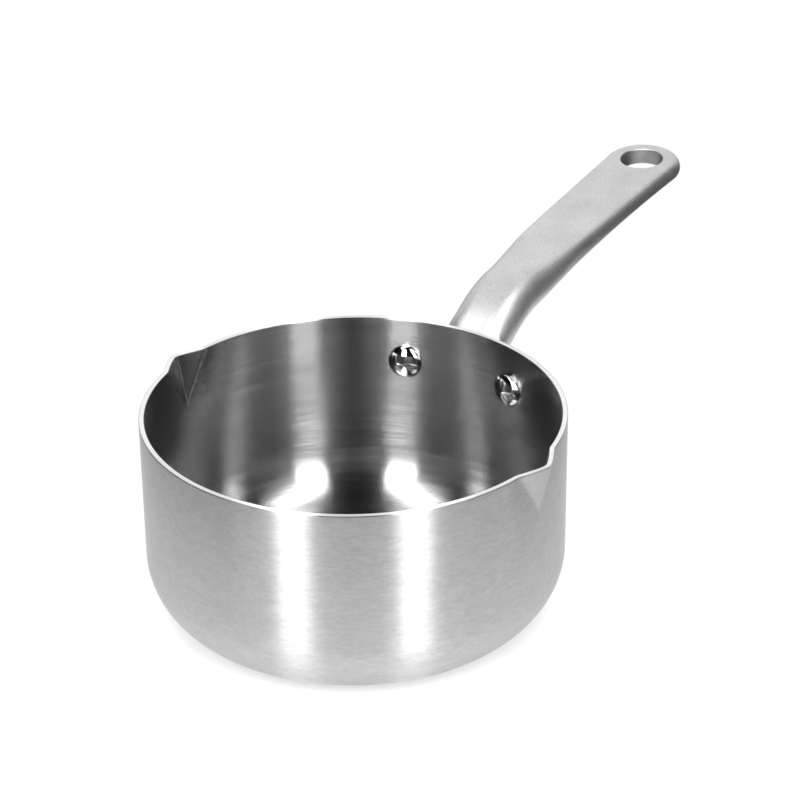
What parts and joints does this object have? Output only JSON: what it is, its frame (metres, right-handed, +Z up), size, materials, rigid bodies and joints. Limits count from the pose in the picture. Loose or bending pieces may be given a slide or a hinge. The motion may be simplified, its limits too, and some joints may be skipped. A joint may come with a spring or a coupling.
{
  "type": "saucepan",
  "caption": "Small open saucepan of clad steel with a rounded base corner, pouring lips pressed into the rim and a long cast handle riveted on, with a hang hole at its end.",
  "frame": {"origin": "centre of the flat base, on the surface that the pan stands on", "axes": "+X along the handle away from the pan, +Z up, +Y towards one of the two pouring lips"},
  "size_m": [0.324, 0.1686, 0.1029],
  "materials": {
    "outer_steel": "brushed round the body",
    "core_aluminium": "ground edge",
    "inner_steel": "finely brushed round the body",
    "handle_steel": "satin, finely blasted",
    "rivet_steel": "polished"
  },
  "bodies": {
    "root": {"outer_shell": "outer_steel", "aluminium_core": "core_aluminium", "inner_liner": "inner_steel", "handle": "handle_steel", "rivet_left": "rivet_steel", "rivet_right": "rivet_steel"}
  },
  "joints": []
}
